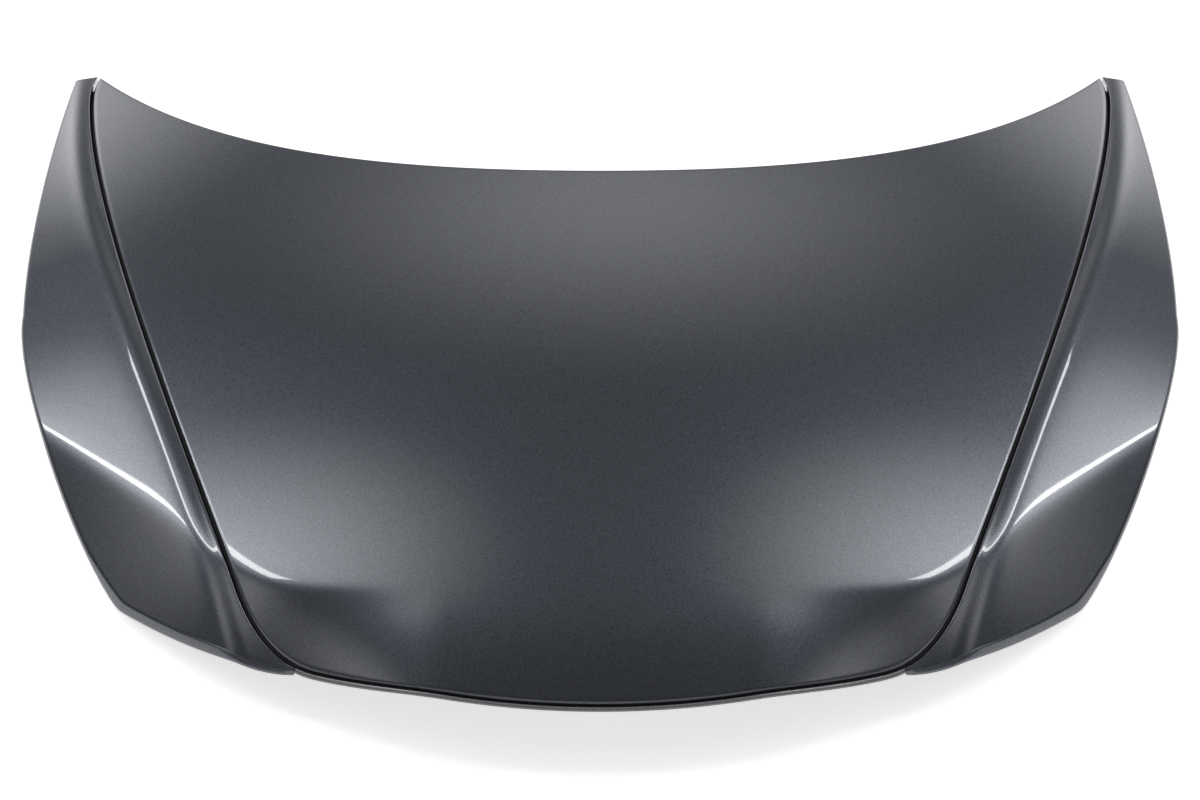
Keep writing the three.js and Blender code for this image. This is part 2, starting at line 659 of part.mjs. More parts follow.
function geometryFrom(solid) {
  const mesh = solid.getMesh();
  const geometry = new THREE.BufferGeometry();
  geometry.setAttribute("position", new THREE.BufferAttribute(mesh.vertProperties, 3));
  geometry.setIndex(new THREE.BufferAttribute(mesh.triVerts, 1));
  return geometry;
}

const materials = {
  paint: new THREE.MeshStandardMaterial({ color: 0x3e4046, metalness: 0.6, roughness: 0.35 }),
  primer: new THREE.MeshStandardMaterial({ color: 0x2f3136, metalness: 0.2, roughness: 0.6 }),
  steel: new THREE.MeshStandardMaterial({ color: 0x8d9096, metalness: 0.8, roughness: 0.4 }),
  rubber: new THREE.MeshStandardMaterial({ color: 0x111112, metalness: 0, roughness: 0.9 }),
};

const bonnet = new THREE.Group();

function addBody(name, geometry, material) {
  geometry.computeVertexNormals();
  const mesh = new THREE.Mesh(geometry, material);
  mesh.name = name;
  bonnet.add(mesh);
}

function mirroredGeometry(geometry) {
  const copy = geometry.clone().scale(-1, 1, 1);
  const index = copy.index.array;
  for (let k = 0; k < index.length; k += 3) [index[k + 1], index[k + 2]] = [index[k + 2], index[k + 1]];
  return copy;
}

// A seat is a place on the underside of the sheet work: its point and its axes (across, up, along).
// It is taken at the middle of a flat facet, between two or four points of the sheet.
function seatOn(points, depth, acrossPoint) {
  const solid = points.map(([x, y]) => new THREE.Vector3(x, y, baseHeight(x, y) - depth));
  const at = solid.reduce((sum, p) => sum.add(p), new THREE.Vector3()).divideScalar(points.length);
  const rough = new THREE.Vector3(acrossPoint[0], acrossPoint[1], 0);
  const dx = (baseHeight(at.x + 8, at.y) - baseHeight(at.x - 8, at.y)) / 16;
  const dy = (baseHeight(at.x, at.y + 8) - baseHeight(at.x, at.y - 8)) / 16;
  const up = new THREE.Vector3(-dx, -dy, 1).normalize();
  const across = rough.addScaledVector(up, -rough.dot(up)).normalize();
  const onward = new THREE.Vector3().crossVectors(across, up);
  return new THREE.Matrix4().makeBasis(across, up, onward).setPosition(at);
}

const flipX = new THREE.Matrix4().makeScale(-1, 1, 1);
const mirroredSeat = (seat) => new THREE.Matrix4().multiplyMatrices(flipX, seat).multiply(flipX);
const moved = (seat, x, y, z) => seat.clone().multiply(new THREE.Matrix4().makeTranslation(x, y, z));

// Bolt with its head under the seat and its shank going up through the sheets.
function bolt(head, headHeight, shank, length) {
  const profile = [
    [0, -clearance - headHeight], [head, -clearance - headHeight], [head, -clearance],
    [shank, -clearance], [shank, length], [0, length],
  ];
  return new THREE.LatheGeometry(profile.map(([r, y]) => new THREE.Vector2(r, y)), 6);
}

const cuts = { carrier: [], frame: [], rightSkin: [], leftSkin: [], rightInner: [], leftInner: [], hinge: [], striker: [], strip: [] };

function cutHole(seat, radius, targets) {
  const hole = new THREE.CylinderGeometry(radius, radius, 24, 6).applyMatrix4(seat);
  targets.forEach((name) => cuts[name].push(solidOf(hole)));
}

function pierced(geometry, holes) {
  const cut = holes.reduce((solid, hole) => solid.subtract(hole), solidOf(geometry));
  return geometryFrom(cut);
}

const underCarrier = seatDepth + clearance + carrierThickness;
const sectionBolt = bolt(6.5, 4.5, 3, 7);
const smallBolt = bolt(4.5, 3, 2.2, 9);
const bolts = [];

// Side sections: their foot, the inner panel on it and the carrier under it share three bolts a side.
// Centre section: the edge beam is bolted to the carrier twice a side and twice at the front.
const rightSeats = [7, 10, 15].map((line) => {
  const station = carrierStations.find((s) => s.line === line);
  const [foot, jointEdge] = seatPlan(station);
  return seatOn([foot, jointEdge], underCarrier, [1, 0]);
});
const beamSeat = (station) => seatOn([30, 62].map((e) => add(station.edge, station.way, e)), underCarrier, [1, 0]);
const centreSeats = [cornerRows[6], cornerRows[13], frontHalf[2]].map(beamSeat);
rightSeats.forEach((seat, k) => {
  cutHole(seat, 3.4, ["carrier", "rightSkin", "rightInner"]);
  cutHole(mirroredSeat(seat), 3.4, ["carrier", "leftSkin", "leftInner"]);
  bolts.push(["right_side_bolt_" + (k + 1), sectionBolt, seat], ["left_side_bolt_" + (k + 1), sectionBolt, mirroredSeat(seat)]);
});
centreSeats.forEach((seat, k) => {
  cutHole(seat, 3.4, ["carrier", "frame"]);
  cutHole(mirroredSeat(seat), 3.4, ["carrier", "frame"]);
  const name = ["centre_bolt_front", "centre_bolt_rear", "centre_bolt_nose"][k];
  bolts.push([name + "_right", sectionBolt, seat], [name + "_left", sectionBolt, mirroredSeat(seat)]);
});

// Hinge plates: pressed plates under the rear beam, one on each hand. The middle is raised as a seat
// for the hinge arm, and a bolt goes through each end.
const hinge = { half: 44, width: 26, thickness: 6, raised: 2, seatHalf: 14, step: 3, boltAt: 28 };
const hingeFace = -hinge.thickness - hinge.raised;
const hingeProfile = [
  [-hinge.half, 0], [-hinge.half, -hinge.thickness], [-hinge.seatHalf - hinge.step, -hinge.thickness],
  [-hinge.seatHalf, hingeFace], [hinge.seatHalf, hingeFace],
  [hinge.seatHalf + hinge.step, -hinge.thickness], [hinge.half, -hinge.thickness], [hinge.half, 0],
];
const hingeEnds = [rearHalf[6], rearHalf[7]];
const hingeFacet = hingeEnds.flatMap((s) => [30, 62].map((e) => add(s.edge, s.way, e)));
const hingeRun = [hingeEnds[1].edge[0] - hingeEnds[0].edge[0], hingeEnds[1].edge[1] - hingeEnds[0].edge[1]];
const hingeSeat = seatOn(hingeFacet, seatDepth + 2 * clearance, hingeRun);
const hingeShape = new THREE.Shape(hingeProfile.map(([x, y]) => new THREE.Vector2(x, y)));
const hingePlate = new THREE.ExtrudeGeometry(hingeShape, { depth: hinge.width, bevelEnabled: false });
hingePlate.translate(0, 0, -hinge.width / 2);
for (const x of [-hinge.boltAt, hinge.boltAt]) {
  const seat = moved(hingeSeat, x, -hinge.thickness, 0);
  cutHole(seat, 3.4, ["hinge", "frame"]);
  cutHole(mirroredSeat(seat), 3.4, ["frame"]);
  const name = x < 0 ? "hinge_bolt_inner" : "hinge_bolt_outer";
  bolts.push(["right_" + name, bolt(6.5, 4.5, 3, 14), seat], ["left_" + name, bolt(6.5, 4.5, 3, 14), mirroredSeat(seat)]);
}
const rightHinge = pierced(hingePlate.applyMatrix4(hingeSeat), cuts.hinge);

// Striker: a small plate under the front of the carrier with a round-bar loop below it.
const strikerThickness = 3;
const strikerFacet = [frontHalf[0], mirrored(frontHalf[0])].flatMap((s) => [30, 62].map((e) => add(s.edge, s.way, e)));
const strikerSeat = seatOn(strikerFacet, underCarrier + clearance, [1, 0]);
const strikerPlate = new THREE.BoxGeometry(64, strikerThickness, 26).translate(0, -strikerThickness / 2, 0);
for (const x of [-25, 25]) {
  const seat = moved(strikerSeat, x, -strikerThickness, 0);
  cutHole(seat, 2.6, ["striker", "carrier", "frame"]);
  bolts.push([x < 0 ? "striker_bolt_left" : "striker_bolt_right", smallBolt, seat]);
}
const loopPath = new THREE.CatmullRomCurve3(
  [[-13, -3.3], [-13, -22], [-11, -29], [-5, -32], [5, -32], [11, -29], [13, -22], [13, -3.3]].map(([x, y]) => new THREE.Vector3(x, y, 0)),
  false, "catmullrom", 0.4,
);

function roundBar(path, radius, sides, steps) {
  const points = [];
  const triangles = [];
  for (let k = 0; k <= steps; k++) {
    const centre = path.getPoint(k / steps);
    const forward = path.getTangent(k / steps);
    const side = new THREE.Vector3(-forward.y, forward.x, 0);
    for (let s = 0; s < sides; s++) {
      const angle = (2 * Math.PI * s) / sides;
      const p = centre.clone().addScaledVector(side, radius * Math.cos(angle));
      points.push([p.x, p.y, p.z + radius * Math.sin(angle)]);
    }
  }
  for (let k = 0; k < steps; k++) {
    for (let s = 0; s < sides; s++) {
      const a = k * sides + s;
      const b = k * sides + ((s + 1) % sides);
      triangles.push([a, b, a + sides], [b, b + sides, a + sides]);
    }
  }
  for (let s = 1; s + 1 < sides; s++) {
    triangles.push([0, s + 1, s], [steps * sides, steps * sides + s, steps * sides + s + 1]);
  }
  return geometryOf(points, triangles);
}
const strikerLoop = roundBar(loopPath, 4, 8, 12).applyMatrix4(strikerSeat);

// Rubber buffers under the carrier, two in front and two behind.
const bufferShape = new THREE.LatheGeometry(
  [[0, -17], [5, -17], [8, -14], [10, -0.4], [0, -0.4]].map(([r, y]) => new THREE.Vector2(r, y)), 10,
);
const bufferSeats = { front: beamSeat(frontHalf[8]), rear: beamSeat(cornerRows[14]) };

// Strip screws: from inside the carrier, through its leaning wall into the foot of the strip.
const wallInside = -carrierThickness * wallNormal[0];
function screwSeat(near, far) {
  const middle = (k) => {
    const [p, q] = [near, far].map((s) => new THREE.Vector3(...placed(s, onWall(k, wallInside))));
    return p.add(q).multiplyScalar(0.5);
  };
  const side = new THREE.Vector3(far.edge[0] - near.edge[0], far.edge[1] - near.edge[1], 0);
  side.z = baseHeight(...far.edge) - baseHeight(...near.edge);
  side.normalize();
  const outward = middle(1).sub(middle(0)).cross(side).normalize();
  const last = new THREE.Vector3().crossVectors(side, outward);
  return new THREE.Matrix4().makeBasis(side, outward, last).setPosition(middle(0.78));
}
const screwSeats = [screwSeat(mirrored(frontHalf[0]), frontHalf[0]), screwSeat(frontHalf[6], frontHalf[7])];
const stripScrew = bolt(3.2, 2, 1.6, wallNormal[0] * carrierThickness + clearance + stripThickness + 0.3);
const allScrews = { strip_screw_middle: screwSeats[0], strip_screw_right: screwSeats[1], strip_screw_left: mirroredSeat(screwSeats[1]) };
for (const [name, seat] of Object.entries(allScrews)) {
  cutHole(seat, 2, ["strip", "carrier"]);
  bolts.push([name, stripScrew, seat]);
}

const rightSkin = sideSkin();
const rightInner = sideInner();
addBody("centre_skin", centreSkin, materials.paint);
addBody("centre_inner_frame", pierced(innerFrame, cuts.frame), materials.primer);
addBody("right_side_skin", pierced(rightSkin, cuts.rightSkin), materials.paint);
addBody("left_side_skin", pierced(mirroredGeometry(rightSkin), cuts.leftSkin), materials.paint);
addBody("right_side_inner", pierced(rightInner, cuts.rightInner), materials.primer);
addBody("left_side_inner", pierced(mirroredGeometry(rightInner), cuts.leftInner), materials.primer);
addBody("carrier_frame", pierced(carrierFrame, cuts.carrier), materials.primer);
addBody("joint_seal", jointSeal, materials.rubber);
addBody("front_strip", pierced(frontStrip, cuts.strip), materials.steel);
addBody("right_hinge_plate", rightHinge, materials.steel);
addBody("left_hinge_plate", mirroredGeometry(rightHinge), materials.steel);
addBody("striker_plate", pierced(strikerPlate.applyMatrix4(strikerSeat), cuts.striker), materials.steel);
addBody("striker_loop", strikerLoop, materials.steel);
for (const [place, seat] of Object.entries(bufferSeats)) {
  addBody("right_buffer_" + place, bufferShape.clone().applyMatrix4(seat), materials.rubber);
  addBody("left_buffer_" + place, bufferShape.clone().applyMatrix4(mirroredSeat(seat)), materials.rubber);
}
for (const [name, shape, seat] of bolts) addBody(name, shape.clone().applyMatrix4(seat), materials.steel);

const box = new THREE.Box3().setFromObject(bonnet);
bonnet.position.set(-0.5 * (box.min.x + box.max.x), -0.5 * (box.min.y + box.max.y), -box.min.z);
export default bonnet;
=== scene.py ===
# A car bonnet of pressed and painted sheet: a wide centre section between two side sections.
import math

import bpy
import numpy as np
from mathutils import Matrix, Vector


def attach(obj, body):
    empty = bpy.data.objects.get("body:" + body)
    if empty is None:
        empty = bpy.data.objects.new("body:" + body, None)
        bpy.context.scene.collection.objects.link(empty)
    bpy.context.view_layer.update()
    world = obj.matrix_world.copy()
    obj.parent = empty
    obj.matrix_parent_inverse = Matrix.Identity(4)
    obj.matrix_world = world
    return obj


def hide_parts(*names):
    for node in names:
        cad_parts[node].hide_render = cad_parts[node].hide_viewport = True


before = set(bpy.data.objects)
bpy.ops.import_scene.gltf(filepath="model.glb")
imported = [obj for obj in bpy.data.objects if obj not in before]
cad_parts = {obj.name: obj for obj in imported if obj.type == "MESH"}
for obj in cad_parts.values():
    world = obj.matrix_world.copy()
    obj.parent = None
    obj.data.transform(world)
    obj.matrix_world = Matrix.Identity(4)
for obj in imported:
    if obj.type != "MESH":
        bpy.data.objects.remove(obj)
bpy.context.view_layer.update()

# View of the bonnet: from in front and above, through a long lens as in a studio photograph.
# The camera stands eight metres away, so the panel shows little perspective.
view_target = np.array([0.0, -0.07935, 0.10472])
view_height = math.radians(51.0)
view_distance = 8.0
camera_data = bpy.data.cameras.new("camera")
camera_data.lens = 162.6
camera_data.sensor_width = 36.0
camera_data.clip_end = 100.0
camera = bpy.data.objects.new("camera", camera_data)
camera.location = view_target + view_distance * np.array([0.0, -math.cos(view_height), math.sin(view_height)])
camera.rotation_euler = (math.pi / 2 - view_height, 0.0, 0.0)
bpy.context.scene.collection.objects.link(camera)
bpy.context.scene.camera = camera
bpy.context.scene.view_settings.view_transform = "Standard"

# Painted surface: one height formula is pressed into all the skins, so that they line up at the joints.
# It is a low crown, bent down at the nose, with a ridge beside each joint and a crease over the lamps.
# The plan is drawn in millimetres from the middle of the car, and put in the frame's place at the end.
plan_shift = np.array([0.0, -59.3653, -5.284])
metres = 0.001
crown_top = 190.0
crown_lean = 0.007
crown_lengthwise = 5600.0
crown_across = 8000.0
nose_start = -470.0
nose_fall = 0.12
crease_front = -398.0
crease_turn = 488.0
crease_sweep = 1.05
crease_fall = 0.33
crease_blend = 12.0
crease_inner = 220.0
crease_fade = 320.0
broad_blend = 60.0
ridge_start = 652.0
ridge_sweep = 0.318
ridge_turn = 250.0
ridge_turn_in = 3.9e-4
ridge_squareness = 0.95
ridge_width = 22.0
ridge_rise = 0.22
ridge_fall = 0.5


def bend(t, blend):
    """Nothing before zero and a slope of one after it, with a rounded turn between."""
    return 0.5 * (t + np.hypot(t, blend))


def smooth_share(x):
    held = np.clip(x, 0.0, 1.0)
    return held * held * (3.0 - 2.0 * held)


def crease_line(x):
    return crease_front + crease_sweep * bend(np.abs(x) - crease_turn, broad_blend)


def base_height(x, y):
    crown = crown_top + crown_lean * y - y * y / crown_lengthwise - x * x / crown_across
    crown = crown - nose_fall * bend(nose_start - y, broad_blend)
    run = np.abs(x) - crease_turn
    slope = crease_sweep * 0.5 * (1.0 + run / np.hypot(run, broad_blend))
    ahead = (crease_line(x) - y) / np.hypot(1.0, slope)
    fade = smooth_share((np.abs(x) - crease_inner) / crease_fade)
    return crown - crease_fall * fade * bend(ahead, crease_blend)


def skin_height(x, y):
    """The base with the ridge that stands beside each joint; its foot follows the joint line."""
    turn = bend(y - ridge_turn, 30.0)
    ridge_foot = ridge_start + ridge_sweep * y - ridge_turn_in * turn * turn
    out = (np.abs(x) - ridge_foot) * ridge_squareness
    return base_height(x, y) + ridge_rise * bend(out, 6.0) - ridge_fall * bend(out - ridge_width, 14.0)


# Outlines: the joint line runs from the front centre round the corner to the sharp rear tip.
# Each outline is sampled closely, and is then read by its length in millimetres.
curve_samples = 400
half_step = 0.4


class Outline:
    def __init__(self, *pieces):
        points = np.vstack([piece if k == 0 else piece[1:] for k, piece in enumerate(pieces)])
        steps = np.hypot(*np.diff(points, axis=0).T)
        self.points = points
        self.marks = np.concatenate([[0.0], np.cumsum(steps)])
        self.length = self.marks[-1]

    def at(self, distance):
        x, y = self.points.T
        return np.stack([np.interp(distance, self.marks, x), np.interp(distance, self.marks, y)], axis=-1)

    def forward(self, distance):
        low = np.clip(distance - half_step, 0.0, self.length)
        high = np.clip(distance + half_step, 0.0, self.length)
        step = self.at(high) - self.at(low)
        return step / np.linalg.norm(step, axis=-1, keepdims=True)

    def out(self, distance):
        step = self.forward(distance)
        return np.stack([step[..., 1], -step[..., 0]], axis=-1)


def bezier(*corners):
    t = np.linspace(0.0, 1.0, curve_samples)[:, None]
    points = [np.array(corner, dtype=float)[None, :] for corner in corners]
    while len(points) > 1:
        points = [p * (1.0 - t) + q * t for p, q in zip(points, points[1:])]
    return points[0]


front_radius = 1168.0
front_centre = 591.8
front_half_width = 404.0


def front_arc():
    angle = np.linspace(0.0, math.asin(front_half_width / front_radius), curve_samples)
    return np.stack([front_radius * np.sin(angle), front_centre - front_radius * np.cos(angle)], axis=-1)


joint = Outline(
    front_arc(),
    bezier(front_arc()[-1], (484.2, -474.4), (521, -373)),
    bezier((521, -373), (580.4, -209.4), (782.3, 354.7), (794.1, 640)),
    bezier((794.1, 640), (795.5, 676), (787, 701)),
)
rear_edge = Outline(bezier((0, 383.7), (306, 383.7), (599, 454), (785, 698.5)))
lip_edge = Outline(
    bezier((431, -499), (524.8, -489.5), (639.6, -395.3), (692, -349.4)),
    bezier((692, -349.4), (700.4, -342.1), (709, -328)),
)
flank_front = Outline(bezier((709, -328), (793.9, -189.6), (880.7, 101.3), (870.5, 188)))
flank_rear = Outline(bezier((870.5, 188), (874.6, 306.7), (856.3, 490.4), (824.5, 697)))
half_gap = 2.5
corner_at = 502.0
shallow_end = corner_at - 59.0
side_length = joint.length - corner_at
tip = np.array([785.0, 698.5])
side_away = -joint.forward(np.array([joint.length]))[0]
rear_away = -rear_edge.forward(np.array([rear_edge.length]))[0]
tip_angle = math.acos(float(side_away @ rear_away))


# Painted skins: one millimetre steel sheet, pressed, with its edges rolled over and turned in as a hem.
# A skin is a net of points on the height formula with a rolled rim, and all faces wind outwards.
sheet = 1.0
lean_length = 350.0
at_tip = 0.5


def way_in(inward, away, from_tip):
    """Straight in from the edge, but leaning off the tip near it, so that the two edges' nets don't cross."""
    lean = np.clip(1.0 - from_tip / lean_length, 0.0, None) / math.tan(tip_angle / 2.0)
    return inward + away * lean[:, None]


def joint_stations(distance):
    edge = joint.at(distance) - joint.out(distance) * half_gap
    edge[distance > joint.length - at_tip] = tip
    from_tip = joint.length - distance
    return edge, way_in(-joint.out(distance), -joint.forward(distance), from_tip), from_tip


def rear_stations(distance):
    edge = rear_edge.at(distance)
    edge[distance > rear_edge.length - at_tip] = tip
    from_tip = rear_edge.length - distance
    return edge, way_in(rear_edge.out(distance), -rear_edge.forward(distance), from_tip), from_tip


def mesh_object(name, points, faces):
    mesh = bpy.data.meshes.new(name)
    mesh.from_pydata((np.asarray(points) + plan_shift).astype(float) * metres, [], faces)
    mesh.validate()
    mesh.shade_smooth()
    piece = bpy.data.objects.new(name, mesh)
    bpy.context.scene.collection.objects.link(piece)
    return piece


def net_faces(grid, turned=False):
    a, b = grid[:-1, :-1], grid[1:, :-1]
    c, d = grid[1:, 1:], grid[:-1, 1:]
    order = (a, d, c, b) if turned else (a, b, c, d)
    return np.stack([part.ravel() for part in order], axis=-1).tolist()


def rim_of(grid):
    return np.concatenate([grid[:, 0], grid[-1, 1:], grid[-2::-1, -1], grid[0, -2:0:-1]])


def skin_with_rim(name, net, edges, inside, depth, flat, hand=1.0):
    """The net is (columns, rows, 2); each rim station has its own section: inside, depth and flat."""
    columns, rows = net.shape[:2]
    flat_net = net.reshape(-1, 2)
    top = np.column_stack([flat_net, skin_height(flat_net[:, 0], flat_net[:, 1])])
    under = top - np.array([0.0, 0.0, sheet])
    grid = np.arange(columns * rows).reshape(columns, rows)
    count = columns * rows
    rim = rim_of(grid)
    stations = len(rim)
    start = inside[:, 0]
    way = (flat_net[rim] - edges) / start[:, None]
    section = edges[:, None, :] + way[:, None, :] * inside[:, 1:-1, None]
    x, y = section[..., 0], section[..., 1]
    painted = skin_height(x, y)
    level = painted + (base_height(x, y) - painted) * flat[:, 1:-1] - depth[:, 1:-1]
    strip = np.stack([x, y, level], axis=-1)
    steps = strip.shape[1]
    first = 2 * count
    ring = first + np.arange(stations * steps).reshape(stations, steps)
    chains = np.hstack([rim[:, None], ring, rim[:, None] + count])
    looped = np.vstack([chains, chains[:1]])
    faces = net_faces(grid) + net_faces(grid + count, turned=True) + net_faces(looped, turned=True)
    points = np.vstack([top, under, strip.reshape(-1, 3)])
    if hand < 0:
        points = points * np.array([-1.0, 1.0, 1.0])
        faces = [face[::-1] for face in faces]
    return mesh_object(name, points, faces)


def rim_section(start, middle, middle_depth, end, drop, flange, flat):
    """Section of a rim, from the start of its roll round the hem and back to the underside."""
    steps = 6
    t = np.linspace(0.0, 1.0, steps + 1)[:, None]
    control = 2.0 * middle - 0.5 * start
    control_depth = 2.0 * middle_depth - 0.5 * end
    roll_in = start * (1 - t) ** 2 + 2.0 * control * t * (1 - t)
    roll_down = 2.0 * control_depth * t * (1 - t) + end * t**2
    r = np.minimum(0.8, 0.3 * flange)
    tail_in = np.stack([0.0 * r, 0.3 * r, r, flange, flange, sheet + 0.0 * r, sheet + 0.0 * r])
    tail_down = np.stack([drop - r, drop - 0.3 * r, drop, drop, drop - sheet, drop - sheet, end])
    tail_flat = np.stack([flat, flat, flat, flat, flat, flat, 0.0 * flat])
    back_in = (roll_in + np.sin(t * math.pi / 2.0))[::-1][1:]
    back_down = (roll_down + np.cos(t * math.pi / 2.0))[::-1][1:]
    inside = np.vstack([roll_in, tail_in, back_in]).T
    depth = np.vstack([roll_down, tail_down, back_down]).T
    flats = np.vstack([0.0 * roll_in, tail_flat, 0.0 * back_in]).T
    return inside, depth, flats


# Paint: a dark grey metallic base coat with fine flakes under a clear coat, as sprayed on the real panel.
# The flakes are a fine noise in the brightness and in the tilt of the base coat, never in the clear coat.
def new_material(name, colour, roughness, metallic=0.0):
    material = bpy.data.materials.new(name)
    material.use_nodes = True
    shader = material.node_tree.nodes["Principled BSDF"]
    shader.inputs["Base Color"].default_value = (*colour, 1.0)
    shader.inputs["Roughness"].default_value = roughness
    shader.inputs["Metallic"].default_value = metallic
    return material, shader


def object_noise(material, scale, detail=2.0):
    nodes, links = material.node_tree.nodes, material.node_tree.links
    place = nodes.new("ShaderNodeTexCoord")
    noise = nodes.new("ShaderNodeTexNoise")
    noise.inputs["Scale"].default_value = scale
    noise.inputs["Detail"].default_value = detail
    links.new(place.outputs["Object"], noise.inputs["Vector"])
    return noise


def mottled_colour(material, shader, noise, dark, light):
    nodes, links = material.node_tree.nodes, material.node_tree.links
    ramp = nodes.new("ShaderNodeValToRGB")
    ramp.color_ramp.elements[0].color = (*dark, 1.0)
    ramp.color_ramp.elements[1].color = (*light, 1.0)
    ramp.color_ramp.elements[0].position = 0.35
    ramp.color_ramp.elements[1].position = 0.65
    links.new(noise.outputs["Fac"], ramp.inputs["Fac"])
    links.new(ramp.outputs["Color"], shader.inputs["Base Color"])


def bumped(material, shader, noise, strength, distance):
    nodes, links = material.node_tree.nodes, material.node_tree.links
    bump = nodes.new("ShaderNodeBump")
    bump.inputs["Strength"].default_value = strength
    bump.inputs["Distance"].default_value = distance
    links.new(noise.outputs["Fac"], bump.inputs["Height"])
    links.new(bump.outputs["Normal"], shader.inputs["Normal"])


paint, paint_shader = new_material("grey_metallic_paint", (0.057, 0.063, 0.078), 0.31, 0.75)
flakes = object_noise(paint, 700.0, 1.0)
mottled_colour(paint, paint_shader, flakes, (0.034, 0.038, 0.047), (0.08, 0.087, 0.106))
bumped(paint, paint_shader, flakes, 0.15, 0.0004)
paint_shader.inputs["Coat Weight"].default_value = 1.0
paint_shader.inputs["Coat Roughness"].default_value = 0.05
paint_shader.inputs["Coat IOR"].default_value = 1.5


# Centre section: the wide middle skin of the bonnet, hemmed all round over the flange of its inner frame.
# Its front corners are rounded, and its two rear corners run out to sharp tips beside the windscreen.
centre_columns = 240
centre_rows = 190
front_half_marks = corner_at * np.linspace(0.0, 1.0, centre_columns // 2 + 1)
rear_half_marks = rear_edge.length * np.linspace(0.0, 1.0, centre_columns // 2 + 1)
side_marks = corner_at + side_length * np.linspace(0.0, 1.0, centre_rows + 1)


def mirrored_row(half):
    return np.concatenate([half[:0:-1] * np.array([-1.0, 1.0]), half])


def moved_in(stations, distance):
    edge, way, _ = stations
    return edge + distance * way


def centre_ring(distance):
    """The four edges of the centre section, moved in by a distance."""
    front = mirrored_row(moved_in(joint_stations(front_half_marks), distance))
    rear = mirrored_row(moved_in(rear_stations(rear_half_marks), distance))
    right = moved_in(joint_stations(side_marks), distance)
    return front, right, rear, right * np.array([-1.0, 1.0])


def coons(front, right, rear, left):
    """A net of points spanned evenly between four edges."""

    def share(line):
        marks = np.concatenate([[0.0], np.cumsum(np.hypot(*np.diff(line, axis=0).T))])
        return marks / marks[-1]

    v = share(right)[None, :, None]
    u = share(front)[:, None, None] * (1 - v) + share(rear)[:, None, None] * v
    lengthwise = front[:, None] * (1 - v) + rear[:, None] * v
    across = left[None] * (1 - u) + right[None] * u
    low = left[0] * (1 - u) + right[0] * u
    high = left[-1] * (1 - u) + right[-1] * u
    return lengthwise + across - low * (1 - v) - high * v


hem_start = 3.5
hem_middle = 1.015
hem_drop = 5.9
centre_net = coons(*centre_ring(hem_start))
front_edge, right_edge, rear_line, left_edge = centre_ring(0.0)
centre_edges = np.concatenate([front_edge, right_edge[1:], rear_line[-2::-1], left_edge[-2:0:-1]])
other_tip = tip * np.array([-1.0, 1.0])
tip_gap = np.minimum(
    np.linalg.norm(centre_edges - tip, axis=1), np.linalg.norm(centre_edges - other_tip, axis=1)
)
hem_flange = np.minimum(14.0, 4.2 + 0.2 * tip_gap)
ones = np.ones(len(centre_edges))
centre_section = rim_section(
    hem_start * ones, hem_middle * ones, hem_middle * ones, hem_start * ones, hem_drop * ones, hem_flange,
    0.0 * ones,
)
centre_skin = skin_with_rim("centre_skin_paint", centre_net, centre_edges, *centre_section)
centre_skin.data.materials.append(paint)
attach(centre_skin, "root")
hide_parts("centre_skin")


# Side sections: the wing tops, each a long narrow skin with a ridge by the joint and a free outer edge.
# The front lip is a broad chamfer, and the inner edge drops deep to a foot that is bolted to the carrier.
side_lines = 330
side_steps = 64
line_marks = np.linspace(shallow_end, joint.length, side_lines + 1)
lip_start = 6.0
lip_mark = corner_at + 210.0
kink_mark = corner_at + 700.0
line_inner = joint.at(line_marks) + joint.out(line_marks) * half_gap
lip_share = np.clip((line_marks - line_marks[0]) / (lip_mark - line_marks[0]), 0.0, 1.0)
front_share = np.clip((line_marks - lip_mark) / (kink_mark - lip_mark), 0.0, 1.0)
rear_share = np.clip((line_marks - kink_mark) / (joint.length - kink_mark), 0.0, 1.0)
line_outer = np.where(
    (line_marks <= lip_mark)[:, None],
    lip_edge.at(lip_start + (lip_edge.length - lip_start) * lip_share),
    np.where(
        (line_marks <= kink_mark)[:, None],
        flank_front.at(flank_front.length * front_share),
        flank_rear.at(flank_rear.length * rear_share),
    ),
)
line_width = np.linalg.norm(line_outer - line_inner, axis=1)
lip_gone = corner_at + 290.0
lip_change = 80.0
near_lip = np.clip((lip_gone - line_marks) / lip_change, 0.0, 1.0)
seat_change = 115.0
seat_depth = 10.4
most_roll = 0.36
most_flange = 0.42
least_flange = 1.6


def seat_share(marks):
    """Nothing along the front, where the joint is shallow, and one beside the side sections."""
    return smooth_share((marks - shallow_end) / seat_change)


def sized(plain, lip):
    """The size of the lip at the front, and of the plain rim behind it."""
    return plain + (lip - plain) * near_lip


def flange_width(full):
    """The full width, but less where the side section itself is narrow."""
    return np.maximum(least_flange, np.minimum(full, most_flange * line_width))


# Each rim station has seven sizes: the roll's start, its middle and the middle's depth, the depth where the
# roll ends, the drop to the flange, the flange's width, and how far the flange lies on the base height.
every = np.ones(len(line_marks))
line_seat = seat_share(line_marks)
lip_full = 0.6 + 0.4 * line_seat
inner_drop = 9.6 + seat_depth * line_seat
inner_start = np.minimum(3.0, most_roll * line_width)
outer_start = np.minimum(sized(4.0, 7.5 * lip_full), most_roll * line_width)
outer_middle = np.minimum(sized(1.2, 2.2 * lip_full), 0.2 * line_width)
outer_drop = sized(9.0, 7.5 + 4.5 * line_seat)
inner_sizes = np.stack([
    inner_start, 0.29 * inner_start, 0.87 * every, 3.0 * every, inner_drop, flange_width(24.0), every,
])
outer_sizes = np.stack([
    outer_start, outer_middle, sized(1.2, 5.0 * lip_full), sized(4.0, 8.0 * lip_full), outer_drop,
    flange_width(14.0), 0.0 * every,
])
front_end = np.array([2.5, 0.725, 0.725, 2.5, 7.5, 3.0, 0.0])
rear_end = np.array([4.0, 1.16, 1.16, 4.0, 9.0, 9.0, 0.0])

